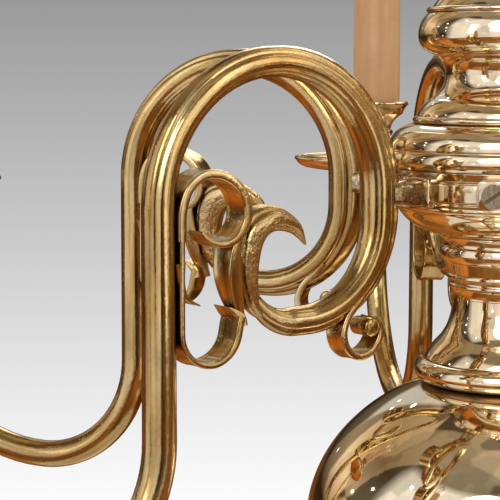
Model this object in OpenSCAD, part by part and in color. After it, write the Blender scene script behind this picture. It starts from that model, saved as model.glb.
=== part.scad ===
// Six-armed brass chandelier of the Dutch and Flemish type.
// Origin at the centre of the hanging eye's bore, +Z up, the body hangs below it.

/* [General] */
// Number of arms, evenly spaced round the hub
arm_count = 6; // [3:1:6]
// Height from the arm centres up to the hanging eye
hub_drop = 238; // [225:1:300]
// Smoothness of round shapes
$fn = 64; // [32:8:96]

/* [Arms] */
// Diameter of the arm tube
tube_d = 12.5; // [11:0.1:13]
// Diameter of the wire bore through the arm
wire_bore_d = 5.2; // [4:0.1:6]
// Distance from the stem's axis to the arm's straight outer limb
limb_r = 181; // [178:0.5:183]
// Distance from the stem's axis to the candle's axis
candle_r = 312; // [304:1:320]
// Radius of the inner half of the U-bend below the candle
bend_R = 51; // [46:0.5:56]
// Width of the scroll ribbons, across the arm
ribbon_w = 11; // [7:0.5:12]
// Thickness of the scroll ribbons
ribbon_t = 2.8; // [2:0.1:4]

/* [Hub] */
// Radius of the hub's plain band
band_r = 50.8; // [48:0.1:54]
// How far the arm and screw pads stand out of the band
pad_h = 5; // [3:0.5:6]
// Angle from each arm round to the next hub screw
screw_turn = 37; // [25:1:38]

/* [Ball] */
// Radius of the ball at its widest
ball_r = 88; // [80:1:95]
// Half of the ball's height
ball_h = 70; // [66:1:74]
// Thickness of the spun brass shells
shell_t = 1.6; // [1:0.1:3]

/* [Candles] */
// Diameter of the candle sleeve
sleeve_d = 28; // [26:0.5:29]
// Length of the candle sleeve
sleeve_h = 84; // [70:1:95]
// Radius of the drip pan
pan_r = 49.5; // [42:0.5:54]

/* [Bottom ring] */
// Radius of the pull ring, to the middle of its wire
ring_r = 17; // [14:0.5:22]
// Diameter of the pull ring's wire
ring_wire_d = 4; // [3:0.1:4.2]

/* [Hidden] */

gold = "#b8862f";
polished = "#cda85a";
arm_step = 360 / arm_count;

// Stem, heights counted from the arm centres
rod_r = 5;
rod_bore_r = 3.2;
rod_hole_r = 5.05;
rod_top = 206;
rod_low = -240;
band_low = -6;
band_top = 8.5;
band_wall = 4.8;
cap_top = 27;
bead_top = 30.2;
knop_top = 73.4;
knop_ring_top = 75.8;
baluster_top = 150;
upper_bead_top = 155;
top_knop_top = 188;
bowl_low = -20.1;
spool_low = -47;
neck_low = -73.5;
ball_z = -147;
ball_seat_r = 36;
ball_foot_r = 14;
ball_top = ball_z + ball_h * sqrt(1 - pow(ball_seat_r / ball_r, 2));
ball_low = ball_z - ball_h * sqrt(1 - pow(ball_foot_r / ball_r, 2));
cup_low = ball_low - 15;
finial_eye_z = -259;

// Arm centre line, radius out from the stem and height from the arm centres
tube_r = tube_d / 2;
wire_bore_r = wire_bore_d / 2;
wire_r = 1.2;
loop_r = 130;
loop_z = 1;
outer_loop_R = limb_r - loop_r;
loop_top = loop_z + outer_loop_R;
hub_loop_R = 51;
hub_loop_z = loop_top - hub_loop_R;
hub_side_r = loop_r - hub_loop_R;
low_R = 53;
low_turn = 43;
low_c = hub_side_r + low_R;
tail_R = 30;
tail_c = low_c - (low_R - tail_R) * cos(low_turn);
tail_z = hub_loop_z - (low_R - tail_R) * sin(low_turn);
loop_low = tail_z - tail_R;
curl_R = 26;
curl_z = loop_low + curl_R;
bend_c = limb_r + bend_R;
bend_z = -86.5;
arm_top = -12.5;

// The outer half of the bend is wider than the inner half
out_R = candle_r - bend_c;
out_z = bend_z - bend_R + out_R;

// Arm fixing in the hub
stub_r = 4;
stub_hole_r = 4.05;
stub_in = 39;
pad_r = band_r + pad_h;
nut_seat = band_r - band_wall + 0.6;
nut_t = 5;
nut_flats = 11.6;
screw_r = 2.5;
screw_head_r = 5;
screw_head_h = 3;
screw_in = 41;

// Terminal block round the rod
block_r = 30;
block_top = 4;

// Candle fittings, heights counted from the arm centres
cup_floor = 23;
cup_lip = 29.6;
socket_r = 7.3;
cap_r = 7.2;
nipple_r = 4.9;
holder_low = 58;
holder_top = cup_floor + sleeve_h - 3;
holder_r = sleeve_d / 2 - 2.2;
socket_floor = holder_top - 26;

// Points along a smooth curve from a to b that is drawn towards c
function curve(a, c, b, n = 8) =
    [for (i = [0:n]) let (t = i / n) (1 - t) * (1 - t) * a + 2 * t * (1 - t) * c + t * t * b];

// The hollow inside a turned piece, one wall in from its outline
function hollow(line, wall, low, high) =
    let (inner = [for (p = line) if (p[1] > low && p[1] < high) [p[0] - wall, p[1]]],
         last = len(inner) - 1)
    concat([[0, low], [inner[0][0], low]], inner, [[inner[last][0], high], [0, high]]);

// A piece turned from its outline, listed from the bottom up
module turned(line, bore = rod_hole_r) {
    rotate_extrude() polygon(concat([[bore, line[0][1]]], line, [[bore, line[len(line) - 1][1]]]));
}

// A turned piece with a hollow inside and closed ends
module turned_hollow(line, wall, end) {
    low = line[0][1] + end;
    high = line[len(line) - 1][1] - end;
    difference() {
        turned(line);
        rotate_extrude() polygon(hollow(line, wall, low, high));
    }
}

module at_hub() {
    translate([0, 0, -hub_drop]) children();
}

module at_arm(i) {
    at_hub() rotate([0, 0, i * arm_step]) children();
}

module at_candle(i) {
    at_arm(i) translate([candle_r, 0, 0]) children();
}

// A cylinder lying along the arm's direction, from one radius to another
module radial(r, from, to) {
    translate([from, 0, 0]) rotate([0, 90, 0]) cylinder(r = r, h = to - from);
}

// A hexagon nut lying along the arm's direction
module radial_nut(flats, bore, from, to) {
    difference() {
        translate([from, 0, 0]) rotate([0, 90, 0]) rotate([0, 0, 30])
            cylinder(r = flats / sqrt(3), h = to - from, $fn = 6);
        radial(bore, from - 1, to + 1);
    }
}

// Turns a drawing made flat into the arm's upright plane, about a centre
module in_plane(r, z) {
    translate([r, 0, z]) rotate([90, 0, 0]) children();
}

module tube_arc(r, z, R, thick, from, to) {
    in_plane(r, z) rotate([0, 0, from]) rotate_extrude(angle = to - from) translate([R, 0]) circle(thick);
}

module ribbon_arc(r, z, R, thick, wide, from, to) {
    in_plane(r, z) rotate([0, 0, from]) rotate_extrude(angle = to - from)
        translate([R, 0]) square([thick, wide], center = true);
}

// The run of the tube from the hub side of the loop out to the candle
module arm_run(thick, top) {
    tube_arc(loop_r, hub_loop_z, hub_loop_R, thick, 90, 180);
    tube_arc(loop_r, loop_z, outer_loop_R, thick, 0, 90);
    translate([limb_r, 0, bend_z]) cylinder(r = thick, h = loop_z - bend_z);
    tube_arc(bend_c, bend_z, bend_R, thick, 180, 270);
    tube_arc(bend_c, out_z, out_R, thick, 270, 360);
    translate([candle_r, 0, out_z]) cylinder(r = thick, h = top - out_z);
}

// The scroll's tail, which grows thinner in steps that overlap a little
module arm_tail() {
    lap = 1.5;
    tube_arc(low_c, hub_loop_z, low_R, tube_r, 180, 180 + low_turn);
    tube_arc(tail_c, tail_z, tail_R, tube_r - 0.15, 180 + low_turn - lap, 270);
    for (i = [0:2])
        tube_arc(tail_c, curl_z, curl_R, tube_r - 0.3 * (i + 1), 270 + i * 30 - lap, 300 + i * 30);
}

// The crescent rib on the hub side of the loop
module arm_rib() {
    rib_r = 120.2;
    rib_R = 49;
    rib_t = 5;
    ribbon_arc(rib_r, loop_z, rib_R, rib_t, rib_t, 112, 234);
}

// The pointed leaf that ends the tail
module arm_leaf() {
    leaf_z = curl_z + 3;
    intersection() {
        difference() {
            in_plane(132, leaf_z) cylinder(r = 15.2, h = 12, center = true);
            in_plane(126.5, leaf_z - 5.5) cylinder(r = 10, h = 14, center = true);
        }
        translate([110, -10, curl_z - 2]) cube([40, 20, 32]);
        translate([0, 0, curl_z - 3]) linear_extrude(34)
            polygon([[112, -1.5], [150, -5.5], [150, 5.5], [112, 1.5]]);
    }
}

// The ribbon scroll that fills the loop beside the straight limb
module arm_scroll() {
    strip_r = limb_r - tube_r - 0.4;
    upper_R = 13;
    upper_r = strip_r - upper_R - 1.8;
    lower_R = 12.9;
    lower_z = -46.3;
    heel_r = strip_r - 2 * lower_R;
    ribbon_arc(upper_r, -0.5, upper_R, ribbon_t, ribbon_w, 0, 305);
    translate([strip_r - ribbon_t / 2, -ribbon_w / 2, lower_z]) cube([ribbon_t, ribbon_w, -lower_z]);
    ribbon_arc(strip_r - lower_R, lower_z, lower_R, ribbon_t, ribbon_w, 180, 360);
    translate([heel_r - ribbon_t / 2, -ribbon_w / 2, lower_z]) cube([ribbon_t, ribbon_w, 9.5]);
    in_plane(0, 0) linear_extrude(ribbon_w, center = true)
        polygon([[heel_r - 1.4, -35], [heel_r - 1.4, -41.5], [heel_r + 9, -38.2]]);
    in_plane(0, 0) linear_extrude(ribbon_w, center = true)
        polygon([[strip_r + 1, -31.5], [strip_r + 1, -38.5], [strip_r - 6.5, -36.8]]);
}

// The tapered blade that ties the upper curl to the tail
module arm_blade() {
    translate([146, 0, -38]) rotate([0, 7, 0]) rotate([90, 0, 90]) linear_extrude(3.2)
        polygon([[-2.5, 0], [2.5, 0], [ribbon_w / 2, 27], [ribbon_w / 2, 34], [-ribbon_w / 2, 34],
            [-ribbon_w / 2, 27]]);
}

// The small rolled volute under the loop
module arm_volute() {
    stem_r = 95.3;
    low = -57;
    big_R = 7.8;
    small_R = 5;
    wide = ribbon_w - 0.5;
    translate([stem_r - ribbon_t / 2, -wide / 2, low]) cube([ribbon_t, wide, 16]);
    ribbon_arc(stem_r - big_R, low, big_R, ribbon_t, wide, 180, 360);
    ribbon_arc(stem_r - 2 * big_R + small_R, low, small_R, ribbon_t, wide - 0.3, 60, 190);
    in_plane(stem_r - 2 * big_R + small_R + 1.4, low + 3.2)
        cylinder(r = 2.7, h = wide + 0.6, center = true);
}

// The lug and threaded stub that fix the arm to the hub
module arm_lug() {
    radial(tube_r - 0.2, pad_r, hub_side_r);
    radial(stub_r, stub_in, pad_r + 1);
}

// The ring below the drip pan, with a seat for the candle fittings
module arm_ferrule() {
    translate([candle_r, 0, arm_top - 14]) cylinder(r = 8.2, h = 14);
    translate([candle_r, 0, arm_top - 4]) cylinder(r = 10.5, h = 4);
    translate([candle_r, 0, arm_top - 14]) rotate_extrude() translate([7.2, 0]) circle(2);
}

module arm(i) {
    color(gold) at_arm(i) difference() {
        union() {
            arm_run(tube_r, arm_top);
            arm_tail();
            arm_rib();
            arm_leaf();
            arm_scroll();
            arm_blade();
            arm_volute();
            arm_lug();
            arm_ferrule();
        }
        arm_run(wire_bore_r, arm_top + 1);
        radial(wire_bore_r - 0.4, stub_in - 1, hub_side_r);
        translate([hub_side_r, 0, 0]) sphere(wire_bore_r);
        translate([candle_r, 0, arm_top - 11]) cylinder(r = nipple_r + 0.05, h = 12);
    }
}

// The wires, one in each arm, from the terminal block out to the lampholder
module arm_wires() {
    color("#d8d2c0") for (i = [0:arm_count - 1]) at_arm(i) union() {
        radial(wire_r, block_r, hub_side_r);
        translate([hub_side_r, 0, 0]) sphere(wire_r);
        arm_run(wire_r, holder_low);
        translate([hub_side_r, 0, 0]) cylinder(r = wire_r, h = max(hub_loop_z, 0.1));
    }
}

module drip_pan(i) {
    floor_z = arm_top;
    dish = concat(curve([10, floor_z], [30, floor_z], [pan_r - 6, floor_z + 3]),
                  curve([pan_r - 6, floor_z + 3], [pan_r - 1.5, floor_z + 4.5], [pan_r - 1, floor_z + 7.6]));
    color(polished) at_candle(i) difference() {
        union() {
            rotate_extrude() polygon(concat([[0, floor_z]], dish, [for (j = [len(dish) - 1:-1:0])
                [dish[j][0] - 0.9, dish[j][1] + 1.2]], [[0, floor_z + 1.2]]));
            translate([0, 0, floor_z + 8]) rotate_extrude() translate([pan_r - 1.2, 0]) circle(1.2);
            translate([0, 0, floor_z]) cylinder(r = 13, h = 4);
        }
        translate([0, 0, floor_z - 1]) cylinder(r = nipple_r + 0.05, h = 6);
    }
}

module candle_cup(i) {
    foot_z = arm_top + 4;
    line = concat([[12, foot_z], [12, foot_z + 1.5]], curve([9.5, foot_z + 3], [6.9, 1], [7.6, 8]),
                  curve([7.6, 8], [10.4, 9], [10, 12.5]), curve([8.8, 13.5], [9.5, 18.5], [15.8, 22]),
                  curve([15.8, 22], [17, 26], [19.4, 27.6]),
                      [[19.8, 28.6], [19.4, cup_lip], [17.6, cup_lip]]);
    color(polished) at_candle(i) difference() {
        turned(line, nipple_r + 0.05);
        translate([0, 0, cup_floor]) cylinder(r = sleeve_d / 2 + 0.1, h = 20);
        translate([0, 0, cup_lip - 2]) cylinder(r1 = sleeve_d / 2, r2 = sleeve_d / 2 + 2.2, h = 2.1);
    }
}

module candle_sleeve(i) {
    color("#e8c49a") at_candle(i) translate([0, 0, cup_floor]) difference() {
        cylinder(r = sleeve_d / 2, h = sleeve_h);
        translate([0, 0, -1]) cylinder(r = sleeve_d / 2 - 1.6, h = sleeve_h + 2);
    }
}

module lampholder(i) {
    color("#e9e4d6") at_candle(i) difference() {
        union() {
            translate([0, 0, arm_top - 10]) cylinder(r = nipple_r, h = holder_low - arm_top + 11);
            translate([0, 0, cup_floor]) cylinder(r = 9, h = 5);
            translate([0, 0, holder_low]) cylinder(r = holder_r, h = holder_top - holder_low);
        }
        translate([0, 0, arm_top - 11]) cylinder(r = rod_bore_r, h = holder_low - arm_top + 11);
        translate([0, 0, socket_floor]) cylinder(r = socket_r, h = 40);
    }
}

module bulb(i) {
    glass = concat(curve([8, holder_top + 1], [9, holder_top + 6], [15, holder_top + 16]),
                   curve([15, holder_top + 16], [20.5, holder_top + 32], [10.5, holder_top + 53]),
                   curve([10.5, holder_top + 53], [6, holder_top + 64], [1.2, holder_top + 72]));
    color("#f4efe2") at_candle(i) {
        translate([0, 0, socket_floor]) cylinder(r = 3.5, h = 2);
        translate([0, 0, socket_floor + 2]) cylinder(r = cap_r, h = holder_top - socket_floor - 1);
        difference() {
            rotate_extrude() polygon(concat([[0, holder_top + 1]], glass, [[0, holder_top + 72]]));
            rotate_extrude() polygon(hollow(glass, 0.8, holder_top + 3, holder_top + 70));
        }
    }
}

module hanging_eye() {
    eye_r = 15;
    shank = concat([[10, top_knop_top - hub_drop], [10, top_knop_top + 3 - hub_drop]],
                   curve([9, top_knop_top + 4 - hub_drop], [7, top_knop_top + 12 - hub_drop], [7.5, -18]),
                   [[7.5, -8]]);
    color(gold) difference() {
        union() {
            rotate_extrude() polygon(concat([[0, shank[0][1]]], shank, [[0, -8]]));
            rotate([90, 0, 0]) cylinder(r = eye_r, h = 9, center = true);
        }
        rotate([90, 0, 0]) cylinder(r = 7.5, h = 12, center = true);
        translate([0, 0, top_knop_top - hub_drop - 1]) cylinder(r = rod_r, h = rod_top - top_knop_top + 1);
        translate([0, 0, rod_top - hub_drop - 1]) cylinder(r = 3, h = 7);
        translate([0, 0, rod_top - hub_drop + 5]) rotate([0, 90, 0]) cylinder(r = 2.6, h = 12);
    }
}

module top_knop() {
    line = concat([[13, upper_bead_top]], curve([13, upper_bead_top + 1], [23, 159], [22, 170]),
                  curve([22, 170], [21, 180], [11, 183]), [[10, 185], [11.5, 186], [11.5, top_knop_top]]);
    color(polished) at_hub() turned_hollow(line, 4, 5);
}

module upper_bead() {
    color(polished) at_hub() difference() {
        union() {
            translate([0, 0, baluster_top]) cylinder(r = 17.5, h = upper_bead_top - baluster_top);
            translate([0, 0, (baluster_top + upper_bead_top) / 2]) rotate_extrude() translate([17.5, 0])
                circle(2.4);
        }
        translate([0, 0, baluster_top - 1]) cylinder(r = rod_hole_r, h = 8);
    }
}

module upper_baluster() {
    line = concat(curve([35.5, knop_ring_top], [33.6, 79.5], [25, 88]),
                  curve([25, 88], [12.5, 99], [11.5, 118]),
                  curve([11.5, 118], [11.5, 124], [15, 130]), curve([15, 130], [19, 138], [15.5, 146]),
                  [[15, baluster_top]]);
    color(polished) at_hub() turned_hollow(line, 3, 4);
}

module knop_ring() {
    color(polished) at_hub() difference() {
        union() {
            translate([0, 0, knop_top]) cylinder(r = 36.8, h = knop_ring_top - knop_top);
            translate([0, 0, (knop_top + knop_ring_top) / 2]) rotate_extrude() translate([36.8, 0])
                circle(1.2);
        }
        translate([0, 0, knop_top - 1]) cylinder(r = rod_hole_r, h = 8);
    }
}

module stem_knop() {
    line = concat([[41.6, bead_top]], curve([41.6, 31], [41, 33.5], [36.6, 36.9]),
                  curve([36.6, 36.9], [29.5, 41.5], [29.5, 47.5]),
                      curve([29.5, 47.5], [29.6, 53], [33.2, 55.4]),
                  curve([34, 56], [41.6, 58.5], [41.3, 64.5]),
                      curve([41.3, 64.5], [41.2, 70], [37.4, knop_top]));
    color(polished) at_hub() turned_hollow(line, 3, 4);
}

module bead_ring() {
    color(polished) at_hub() difference() {
        union() {
            translate([0, 0, cap_top]) cylinder(r = 41.8, h = bead_top - cap_top);
            translate([0, 0, (cap_top + bead_top) / 2]) rotate_extrude() translate([41.8, 0]) circle(1.6);
        }
        translate([0, 0, cap_top - 1]) cylinder(r = rod_hole_r, h = 8);
    }
}

// The domed cap and its rounded flange, with lugs inside that take the hub screws
module hub_cap() {
    line = concat([[52.3, band_top]], curve([52.6, band_top + 0.4], [55, 12], [53.2, 15.8]),
                  curve([53.5, 16.4], [53.6, 21], [49.6, 24.2]),
                      curve([49.6, 24.2], [47.5, 25.8], [43.8, cap_top]));
    inner = band_r - band_wall - 0.1;
    color(polished) at_hub() {
        difference() {
            turned(line);
            translate([0, 0, band_top - 1]) cylinder(r = inner, h = 8);
            translate([0, 0, band_top + 6]) cylinder(r1 = inner, r2 = 40, h = 9);
        }
        for (i = [0:arm_count - 1]) rotate([0, 0, i * arm_step + screw_turn]) difference() {
            intersection() {
                translate([40, -6, band_low + 1]) cube([7.5, 12, band_top + 3 - band_low]);
                union() {
                    translate([0, 0, band_low]) cylinder(r = inner - 0.3, h = 30);
                    translate([0, 0, band_top + 0.5]) cylinder(r = inner + 3, h = 20);
                }
            }
            radial(screw_r, 38, 50);
        }
    }
}

// The band that carries the arms, with a raised pad for each arm and each screw
module hub_ring() {
    line = concat([[band_r, band_low], [band_r, 4.5]], curve([band_r, 4.5], [band_r, 7.5], [52.3, band_top]));
    inner = band_r - band_wall;
    color(polished) at_hub() difference() {
        union() {
            turned(line, inner);
            for (i = [0:arm_count - 1], turn = [0, screw_turn]) rotate([0, 0, i * arm_step + turn])
                hub_pad();
        }
        for (i = [0:arm_count - 1]) rotate([0, 0, i * arm_step]) {
            radial(stub_hole_r, inner - 5, pad_r + 1);
            radial(8.3, inner - 5, nut_seat);
            rotate([0, 0, screw_turn]) radial(screw_r + 0.1, inner - 5, pad_r + 1);
        }
    }
}

// One raised pad with rounded corners
module hub_pad() {
    half_w = 7.6;
    half_h = 6.6;
    corner = 2.4;
    from = band_r - band_wall + 1.5;
    intersection() {
        union() {
            translate([from, -half_w + corner, -half_h]) cube([pad_r - from, 2 * (half_w - corner),
                2 * half_h]);
            translate([from, -half_w, -half_h + corner])
                cube([pad_r - from, 2 * half_w, 2 * (half_h - corner)]);
            for (y = [-1, 1], z = [-1, 1]) translate([0, y * (half_w - corner), z * (half_h - corner)])
                radial(corner, from, pad_r);
        }
        translate([0, 0, band_low]) cylinder(r = pad_r + 5, h = band_top - band_low);
    }
}

module hub_bowl() {
    line = concat(curve([31.3, bowl_low], [44, -17.5], [48.9, -9.4]),
                  curve([49.4, -9], [51.6, -7.6], [band_r, band_low]));
    color(polished) at_hub() difference() {
        turned(line);
        translate([0, 0, bowl_low + 4]) cylinder(r1 = 26, r2 = 43, h = 10.2);
    }
}

// The cove, bead and tapered cup under the bowl
module hub_spool() {
    line = concat([[25.4, spool_low]], curve([25.3, -46], [25.6, -44], [26.5, -42.5]),
                  [[27.6, -42], [27.6, -40.8]],
                  [[27, -40.2], [27.3, -38.6], [28.4, -38.2], [28.4, -36.8], [27.9, -36.2]],
                  curve([27.9, -36.2], [28.6, -33.5], [29.2, -31.4]),
                      curve([29.8, -31], [32.2, -28], [30.5, -25]),
                  curve([30.2, -24.6], [29.6, -22.5], [31.3, bowl_low]));
    color(polished) at_hub() turned_hollow(line, 4, 4);
}

module lower_neck() {
    line = concat(curve([37.4, neck_low], [35.6, -69.4], [31.6, -65.2]),
                  curve([31.6, -65.2], [25.8, -59.5], [25.4, spool_low]));
    color(polished) at_hub() turned_hollow(line, 3.5, 4);
}

module ball_collar() {
    roll = (neck_low - ball_top) / 2;
    color(polished) at_hub() difference() {
        union() {
            translate([0, 0, ball_top]) cylinder(r = 36.8, h = neck_low - ball_top);
            translate([0, 0, ball_top + roll]) rotate_extrude() translate([36.8, 0]) circle(roll);
        }
        translate([0, 0, ball_top + 3]) cylinder(r = 30, h = neck_low - ball_top - 6);
        translate([0, 0, ball_top - 1]) cylinder(r = rod_hole_r, h = 20);
    }
}

// Points of the ball's outline, spread evenly between two angles above its equator
function ball_arc(a, b, from, to, n = 18) =
    [for (i = [0:n]) let (t = from + (to - from) * i / n) [a * cos(t), b * sin(t) + ball_z]];

module ball_upper() {
    rise = asin((ball_top - ball_z) / ball_h);
    outer = ball_arc(ball_r, ball_h, 0, rise);
    inner = ball_arc(ball_r - shell_t, ball_h - shell_t, 0, rise);
    color(polished) at_hub() difference() {
        rotate_extrude() polygon(concat([[rod_hole_r, ball_z]], outer, [[rod_hole_r, ball_top]]));
        rotate_extrude() polygon(concat([[0, ball_z]], inner, [[0, inner[len(inner) - 1][1]]]));
        translate([0, 0, ball_z - 1]) cylinder(r = ball_r - shell_t, h = 1);
    }
}

// The lower shell thickens towards the seam, where its lip enters the upper shell
module ball_lower() {
    drop = asin((ball_low - ball_z) / ball_h);
    lip_r = ball_r - shell_t - 0.4;
    lip_in = lip_r - 1.4;
    outer = ball_arc(ball_r, ball_h, drop, 0);
    inner = ball_arc(lip_in, ball_h - shell_t, drop, 0);
    color(polished) at_hub() difference() {
        union() {
            rotate_extrude() polygon(concat([[rod_hole_r, ball_low]], outer, [[rod_hole_r, ball_z]]));
            translate([0, 0, ball_z - 2]) cylinder(r = lip_r, h = 7);
        }
        rotate_extrude() polygon(concat([[0, inner[0][1]]], inner, [[0, ball_z]]));
        translate([0, 0, ball_z - 1]) cylinder(r = lip_in, h = 12);
    }
}

module bottom_cup() {
    line = concat([[9.5, cup_low], [9.5, cup_low + 2]], 
                  curve([9, cup_low + 3], [19, cup_low + 6], [19.5, ball_low - 3]), [[17, ball_low]]);
    color(polished) at_hub() turned(line);
}

// The drop under the ball, ending in a flat eye for the pull ring
module bottom_finial() {
    line = concat([[0, -256]], curve([4.5, -256], [4.5, -250], [8, -247]),
                  curve([8, -247], [13.5, -241], [8, -235.5]),
                  [[6.8, -234.5], [8.6, -233], [8.6, cup_low]]);
    tab_t = 4.4;
    color(gold) at_hub() difference() {
        union() {
            rotate_extrude() polygon(concat(line, [[0, cup_low]]));
            translate([0, 0, finial_eye_z]) intersection() {
                sphere(7.5);
                cube([20, tab_t, 20], center = true);
            }
        }
        translate([0, 0, rod_low]) cylinder(r = rod_r, h = 30);
        translate([0, 0, finial_eye_z]) rotate([90, 0, 0])
            cylinder(r = ring_wire_d / 2 + 0.5, h = 20, center = true);
    }
}

module pull_ring() {
    color(gold) at_hub() translate([0, 0, finial_eye_z - ring_r]) rotate([0, 90, 0])
        rotate_extrude() translate([ring_r, 0]) circle(ring_wire_d / 2);
}

module centre_rod() {
    color("#9a9488") at_hub() difference() {
        translate([0, 0, rod_low]) cylinder(r = rod_r, h = rod_top - rod_low);
        translate([0, 0, rod_low - 1]) cylinder(r = rod_bore_r, h = rod_top - rod_low + 2);
    }
}

// Hexagon nuts on the rod, one above the terminal block and one inside the ball
module rod_nuts() {
    color("#9a9488") at_hub() for (z = [ball_top - 9.6, block_top]) difference() {
        translate([0, 0, z]) cylinder(r = 17 / sqrt(3), h = 8, $fn = 6);
        translate([0, 0, z - 1]) cylinder(r = rod_r, h = 10);
    }
}

module hub_screws() {
    color("#6f6656") at_hub() for (i = [0:arm_count - 1]) rotate([0, 0, i * arm_step + screw_turn])
        difference() {
        union() {
            radial(screw_r, screw_in, pad_r + 1);
            radial(screw_head_r, pad_r, pad_r + screw_head_h);
        }
        translate([pad_r + screw_head_h, 0, 0]) rotate([35, 0, 0]) cube([2.6, 12, 1.4], center = true);
    }
}

module arm_nuts() {
    color("#9a9488") at_hub() for (i = [0:arm_count - 1]) rotate([0, 0, i * arm_step])
        radial_nut(nut_flats, stub_r, nut_seat - nut_t, nut_seat);
}

// The connector round the rod that joins the arm wires
module terminal_block() {
    floor_z = bowl_low + 4;
    color("#d8d2c0") at_hub() difference() {
        union() {
            translate([0, 0, floor_z]) cylinder(r = 12, h = -floor_z);
            translate([0, 0, -block_top]) cylinder(r = block_r, h = 2 * block_top);
        }
        translate([0, 0, floor_z - 1]) cylinder(r = rod_hole_r, h = 40);
    }
}

hanging_eye();
top_knop();
upper_bead();
upper_baluster();
knop_ring();
stem_knop();
bead_ring();
hub_cap();
hub_ring();
hub_bowl();
hub_spool();
lower_neck();
ball_collar();
ball_upper();
ball_lower();
bottom_cup();
bottom_finial();
pull_ring();
centre_rod();
rod_nuts();
hub_screws();
arm_nuts();
terminal_block();
arm_wires();
arm(0);  // arm_1
arm(1);  // arm_2
arm(2);  // arm_3
arm(3);  // arm_4
arm(4);  // arm_5
arm(5);  // arm_6
drip_pan(0);  // drip_pan_1
drip_pan(1);  // drip_pan_2
drip_pan(2);  // drip_pan_3
drip_pan(3);  // drip_pan_4
drip_pan(4);  // drip_pan_5
drip_pan(5);  // drip_pan_6
candle_cup(0);  // candle_cup_1
candle_cup(1);  // candle_cup_2
candle_cup(2);  // candle_cup_3
candle_cup(3);  // candle_cup_4
candle_cup(4);  // candle_cup_5
candle_cup(5);  // candle_cup_6
candle_sleeve(0);  // candle_sleeve_1
candle_sleeve(1);  // candle_sleeve_2
candle_sleeve(2);  // candle_sleeve_3
candle_sleeve(3);  // candle_sleeve_4
candle_sleeve(4);  // candle_sleeve_5
candle_sleeve(5);  // candle_sleeve_6
lampholder(0);  // lampholder_1
lampholder(1);  // lampholder_2
lampholder(2);  // lampholder_3
lampholder(3);  // lampholder_4
lampholder(4);  // lampholder_5
lampholder(5);  // lampholder_6
bulb(0);  // bulb_1
bulb(1);  // bulb_2
bulb(2);  // bulb_3
bulb(3);  // bulb_4
bulb(4);  // bulb_5
bulb(5);  // bulb_6
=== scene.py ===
import math
import bpy
from mathutils import Matrix, Vector


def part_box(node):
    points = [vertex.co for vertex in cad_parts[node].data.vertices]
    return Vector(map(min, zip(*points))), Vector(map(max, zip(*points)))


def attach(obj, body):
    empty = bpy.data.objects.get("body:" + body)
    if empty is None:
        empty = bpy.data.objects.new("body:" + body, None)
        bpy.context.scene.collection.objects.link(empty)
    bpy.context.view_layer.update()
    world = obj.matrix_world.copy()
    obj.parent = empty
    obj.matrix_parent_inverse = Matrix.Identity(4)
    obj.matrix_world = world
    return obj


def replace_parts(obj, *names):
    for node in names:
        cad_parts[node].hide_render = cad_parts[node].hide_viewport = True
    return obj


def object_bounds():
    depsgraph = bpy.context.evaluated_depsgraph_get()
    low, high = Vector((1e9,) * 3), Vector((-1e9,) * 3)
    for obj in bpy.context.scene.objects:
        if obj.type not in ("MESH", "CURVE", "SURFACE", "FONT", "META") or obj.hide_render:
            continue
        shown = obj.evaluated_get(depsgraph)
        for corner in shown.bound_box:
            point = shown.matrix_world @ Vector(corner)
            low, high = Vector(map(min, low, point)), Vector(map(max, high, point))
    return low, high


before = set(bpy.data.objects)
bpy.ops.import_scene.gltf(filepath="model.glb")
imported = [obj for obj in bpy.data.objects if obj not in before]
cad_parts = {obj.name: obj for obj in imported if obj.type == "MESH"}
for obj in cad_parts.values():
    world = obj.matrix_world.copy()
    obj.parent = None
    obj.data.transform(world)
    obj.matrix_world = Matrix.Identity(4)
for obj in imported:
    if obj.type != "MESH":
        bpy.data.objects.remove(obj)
CAD_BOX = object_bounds()

# ---------------------------------------------------------------- places read from the frame
# Shapes below are in millimetres, with radius out from the stem and height from the arm centres.
MM = 0.001
ARMS = 6


def centre(node):
    """The middle of a node's box, in metres."""
    low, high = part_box(node)
    return (Vector(low) + Vector(high)) / 2


def height(node, end):
    """A node's lowest (0) or highest (1) point, counted from the arm centres."""
    return (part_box(node)[end][2] - HUB) / MM


def half_width(node):
    """Half of a node's extent along x."""
    low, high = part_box(node)
    return (high[0] - low[0]) / 2 / MM


HUB = centre("hub_screws").z
CANDLE_R = centre("candle_sleeve_1").x / MM
PAN_R = half_width("drip_pan_1")
PAN_FLOOR = height("drip_pan_1", 0)
CUP_TOP = height("candle_cup_1", 1)
SLEEVE_LOW, SLEEVE_TOP = height("candle_sleeve_1", 0), height("candle_sleeve_1", 1)
SLEEVE_R = half_width("candle_sleeve_1")
BULB_TOP = height("bulb_1", 1)
BALL_R = half_width("ball_lower")
BALL_TOP, BALL_LOW = height("ball_upper", 1), height("ball_lower", 0)
BALL_MID = height("ball_upper", 0)
SCREW_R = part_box("hub_screws")[1][1] / MM
PAD_FACE = SCREW_R - 3.0     # the screws stand proud of their pads


# ---------------------------------------------------------------- outlines
def arc(x, z, radius, start, end, step=5):
    """Points on a round arc, in degrees from +x towards +z."""
    steps = max(3, round(abs(end - start) / step))
    turns = [math.radians(start + (end - start) * i / steps) for i in range(steps + 1)]
    return [(x + radius * math.cos(t), z + radius * math.sin(t)) for t in turns]


def bow(a, c, b, steps=12):
    """A smooth curve from a to b, drawn towards c."""
    ts = [i / steps for i in range(steps + 1)]
    return [tuple((1 - t) ** 2 * a[k] + 2 * t * (1 - t) * c[k] + t * t * b[k] for k in (0, 1)) for t in ts]


def bows(start, *rest):
    """Bows end to end. The rest are pairs: the point that a bow is drawn towards, then its end."""
    out = []
    for towards, end in zip(rest[::2], rest[1::2]):
        out += bow(start, towards, end)
        start = end
    return out


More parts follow.
